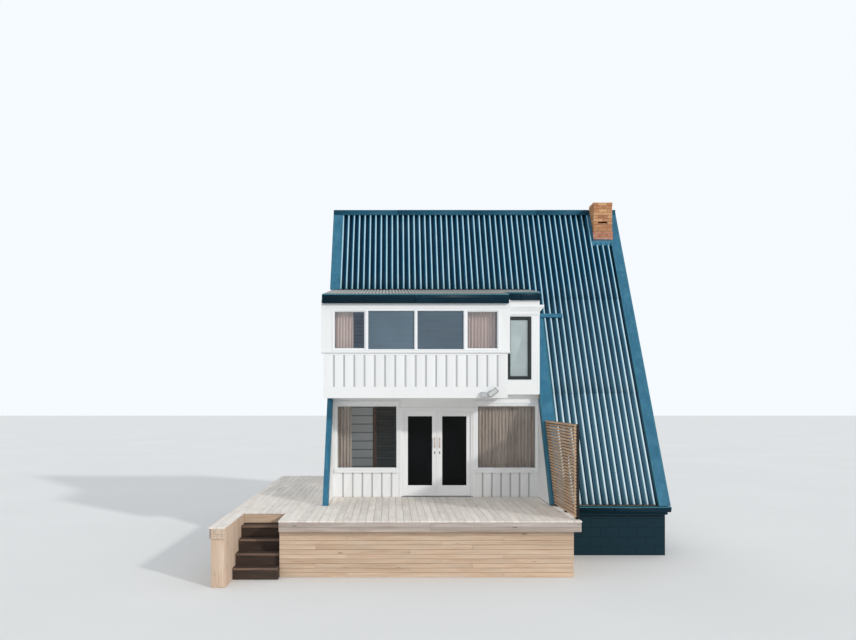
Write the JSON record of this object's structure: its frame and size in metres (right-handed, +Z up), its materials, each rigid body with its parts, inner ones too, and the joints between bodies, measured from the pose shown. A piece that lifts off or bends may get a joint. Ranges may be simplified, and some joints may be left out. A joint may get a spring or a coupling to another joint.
{
  "type": "beach house",
  "caption": "A-frame beach house with a corrugated metal roof, a two-storey bay with French doors, a brick chimney, a raised timber deck, stairs and a slatted screen",
  "frame": {"origin": "On the ground, under the ridge at the middle of the house's length", "axes": "+X along the ridge to the right as seen from the deck, +Y from the deck to the back, +Z up"},
  "size_m": [9.36, 11.4936, 8.63],
  "materials": {
    "base_paint": "matt painted block",
    "lining_wood": "satin boards",
    "floor_wood": "satin boards",
    "roof_sheet": "weathered gloss paint",
    "flashing": "satin paint",
    "gutter": "satin paint",
    "white_board": "painted boards",
    "white_frame": "gloss paint",
    "dark_frame": "dark powder coat",
    "window_glass": "clear",
    "door_glass": "dark tint",
    "pull_metal": "brushed",
    "low_sheet": "weathered zinc grey",
    "brick": "rough brickwork",
    "deck_wood": "weathered boards",
    "frame_wood": "sawn timber",
    "fascia_wood": "weathered board",
    "clad_wood": "sawn boards",
    "stair_wood": "weathered boards",
    "screen_metal": "dark powder coat",
    "slat_wood": "oiled slats",
    "curtain": "matt cloth",
    "inner_board": "painted boards",
    "lamp_metal": "satin paint"
  },
  "bodies": {
    "house": {"base_walls": "base_paint", "ground_floor": "floor_wood", "upper_floor": "lining_wood", "roof_panel_upper": "lining_wood", "roof_panel_right": "lining_wood", "roof_panel_back": "lining_wood", "roof_sheets_upper": "roof_sheet", "roof_sheets_right": "roof_sheet", "roof_sheets_back": "roof_sheet", "ridge_cap": "flashing", "verge_left": "flashing", "verge_right": "flashing", "recess_flashing": "flashing", "eave_gutters": "gutter", "gable_wall_left": "white_board", "gable_wall_right": "white_board", "gable_window_frames": "white_frame", "gable_glass": "window_glass", "recess_cheek": "white_board", "wall_ground_left": "white_board", "wall_ground_right": "white_board", "wall_over_doors": "white_board", "ground_window_frames": "white_frame", "ground_glass": "window_glass", "door_frame": "white_frame", "parapet": "white_board", "upper_wall": "white_board", "upper_window_frames": "white_frame", "upper_glass": "window_glass", "box_side_left": "white_board", "box_side_right": "white_board", "bay_walls": "white_board", "bay_window_frame": "dark_frame", "bay_glass": "window_glass", "bay_hood": "white_frame", "low_roof_panel": "white_board", "low_roof_sheets": "low_sheet", "low_roof_gutters": "gutter", "chimney": "brick", "stack_apron": "flashing", "deck_boards_front": "deck_wood", "deck_boards_side": "deck_wood", "deck_frame_front": "frame_wood", "deck_frame_side": "frame_wood", "deck_fascia": "fascia_wood", "deck_cladding": "clad_wood", "stairs": "stair_wood", "stair_wall": "clad_wood", "screen_posts": "screen_metal", "screen_slats": "slat_wood", "curtains": "curtain", "inner_wall": "inner_board", "outdoor_lamp": "lamp_metal"},
    "left_door": {"door_left": "white_frame", "door_left_glass": "door_glass", "door_left_pulls": "pull_metal"},
    "right_door": {"door_right": "white_frame", "door_right_glass": "door_glass", "door_right_pulls": "pull_metal"}
  },
  "joints": [
    {"name": "left_door_hinge", "type": "hinge", "parent": "house", "child": "left_door", "pos_m": [-1.979, -2.60694, 2.13], "axis": [0, 0, 1], "range_deg": [0, 90]},
    {"name": "right_door_hinge", "type": "hinge", "parent": "house", "child": "right_door", "pos_m": [-0.349, -2.60694, 2.13], "axis": [0, 0, -1], "range_deg": [0, 90]}
  ]
}
